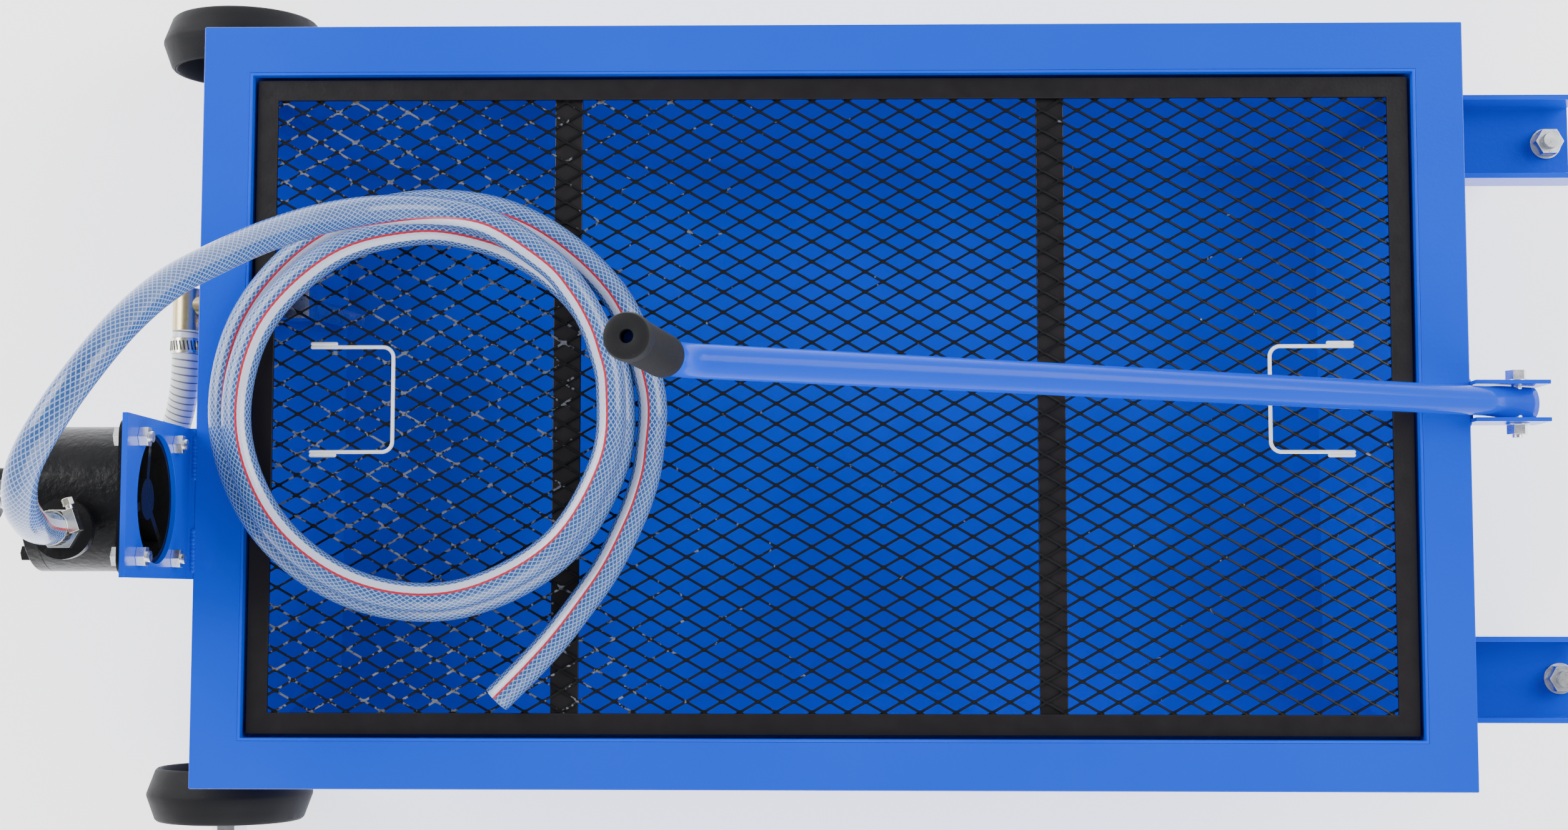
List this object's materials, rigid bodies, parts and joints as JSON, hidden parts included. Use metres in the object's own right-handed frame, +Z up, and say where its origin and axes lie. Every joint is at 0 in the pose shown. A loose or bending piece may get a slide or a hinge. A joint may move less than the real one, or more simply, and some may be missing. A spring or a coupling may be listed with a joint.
{
  "type": "wheeled drain tray with hand pump",
  "caption": "Low wheeled steel drain tray under a mesh grille, with a rotary hand pump, coiled delivery hose and hinged pull handle.",
  "frame": {"origin": "centre of the bounding box on the floor, taken without the loose delivery hose", "axes": "+Z up, +X along the tray from the pump end to the handle end, +Y across the tray away from the pump"},
  "size_m": [1.3092, 0.6688, 0.622],
  "materials": {
    "blue_paint": "glossy",
    "grille_paint": "satin, scratched",
    "pump_iron": "gloss black paint",
    "rotor_iron": "machined",
    "black_rubber": "matte",
    "black_plastic": "satin",
    "black_bolts": "satin",
    "bright_zinc": "zinc plated",
    "yellow_zinc": "yellow passivated zinc",
    "clear_hose": "clear, braided",
    "wire_hose": "clear, wire helix"
  },
  "bodies": {
    "tray": {"rim_frame": "blue_paint", "tank_walls": "blue_paint", "tank_sump": "blue_paint", "grille_ledge": "blue_paint", "grille_frame": "grille_paint", "grille_crossbars": "grille_paint", "expanded_mesh": "grille_paint", "axle_lugs": "blue_paint", "wheel_axle": "bright_zinc", "wheel_washers": "bright_zinc", "axle_nuts": "bright_zinc", "caster_arm_back": "blue_paint", "caster_arm_front": "blue_paint", "caster_stems": "bright_zinc", "caster_nuts": "bright_zinc", "pump_bracket": "blue_paint", "pump_body": "pump_iron", "pump_cover": "pump_iron", "cover_bolts": "black_bolts", "mount_bolts": "bright_zinc", "mount_nuts": "bright_zinc", "packing_nut": "pump_iron", "outlet_barb": "bright_zinc", "outlet_clamp": "bright_zinc", "inlet_barb": "bright_zinc", "inlet_clamp": "bright_zinc", "tank_elbow": "yellow_zinc", "elbow_locknut": "yellow_zinc", "tank_clamp": "bright_zinc", "pickup_tube": "bright_zinc", "suction_hose": "wire_hose", "hose_feed": "clear_hose", "hose_coil": "clear_hose", "hose_tail": "clear_hose", "handle_clevis": "blue_paint", "handle_bolt": "bright_zinc", "handle_nut": "bright_zinc", "handle_washers": "bright_zinc"},
    "wheel_back": {"wheel_back": "black_rubber"},
    "wheel_front": {"wheel_front": "black_rubber"},
    "caster_back": {"caster_fork_back": "bright_zinc", "caster_axle_back": "bright_zinc"},
    "caster_front": {"caster_fork_front": "bright_zinc", "caster_axle_front": "bright_zinc"},
    "caster_wheel_back": {"caster_wheel_back": "black_rubber"},
    "caster_wheel_front": {"caster_wheel_front": "black_rubber"},
    "handle": {"handle_tube": "blue_paint", "handle_grip": "black_rubber"},
    "bail_left": {"bail_left": "bright_zinc"},
    "bail_right": {"bail_right": "bright_zinc"},
    "pump_crank": {"pump_shaft": "bright_zinc", "pump_rotor": "rotor_iron", "pump_vanes": "black_plastic", "crank_arm": "pump_iron", "shaft_nut": "bright_zinc", "crank_pin": "bright_zinc"},
    "crank_grip": {"crank_grip": "black_plastic"}
  },
  "joints": [
    {"name": "wheel_back_roll", "type": "hinge", "parent": "tray", "child": "wheel_back", "pos_m": [-0.40335, 0.303, 0.065], "axis": [0, 1, 0], "continuous": true},
    {"name": "wheel_front_roll", "type": "hinge", "parent": "tray", "child": "wheel_front", "pos_m": [-0.40335, -0.303, 0.065], "axis": [0, 1, 0], "continuous": true},
    {"name": "caster_back_swivel", "type": "hinge", "parent": "tray", "child": "caster_back", "pos_m": [0.63665, 0.208, 0.095], "axis": [0, 0, 1], "continuous": true},
    {"name": "caster_front_swivel", "type": "hinge", "parent": "tray", "child": "caster_front", "pos_m": [0.63665, -0.208, 0.095], "axis": [0, 0, 1], "continuous": true},
    {"name": "caster_wheel_back_roll", "type": "hinge", "parent": "caster_back", "child": "caster_wheel_back", "pos_m": [0.61067, 0.223, 0.0375], "axis": [0.5, 0.866, 0], "continuous": true},
    {"name": "caster_wheel_front_roll", "type": "hinge", "parent": "caster_front", "child": "caster_wheel_front", "pos_m": [0.60665, -0.208, 0.0375], "axis": [0, 1, 0], "continuous": true},
    {"name": "handle_hinge", "type": "hinge", "parent": "tray", "child": "handle", "pos_m": [0.59265, 0, 0.17934], "axis": [0, 1, 0], "range_deg": [0, 150]},
    {"name": "bail_left_hinge", "type": "hinge", "parent": "tray", "child": "bail_left", "pos_m": [-0.31735, 0.003, 0.1778], "axis": [0, -1, 0], "range_deg": [0, 95]},
    {"name": "bail_right_hinge", "type": "hinge", "parent": "tray", "child": "bail_right", "pos_m": [0.47065, 0.003, 0.1778], "axis": [0, 1, 0], "range_deg": [0, 68]},
    {"name": "crank_turn", "type": "hinge", "parent": "tray", "child": "pump_crank", "pos_m": [-0.52335, -0.0765, 0.265], "axis": [1, 0, 0], "continuous": true},
    {"name": "crank_grip_spin", "type": "hinge", "parent": "pump_crank", "child": "crank_grip", "pos_m": [-0.58335, -0.05334, 0.07642], "axis": [1, 0, 0], "continuous": true}
  ]
}
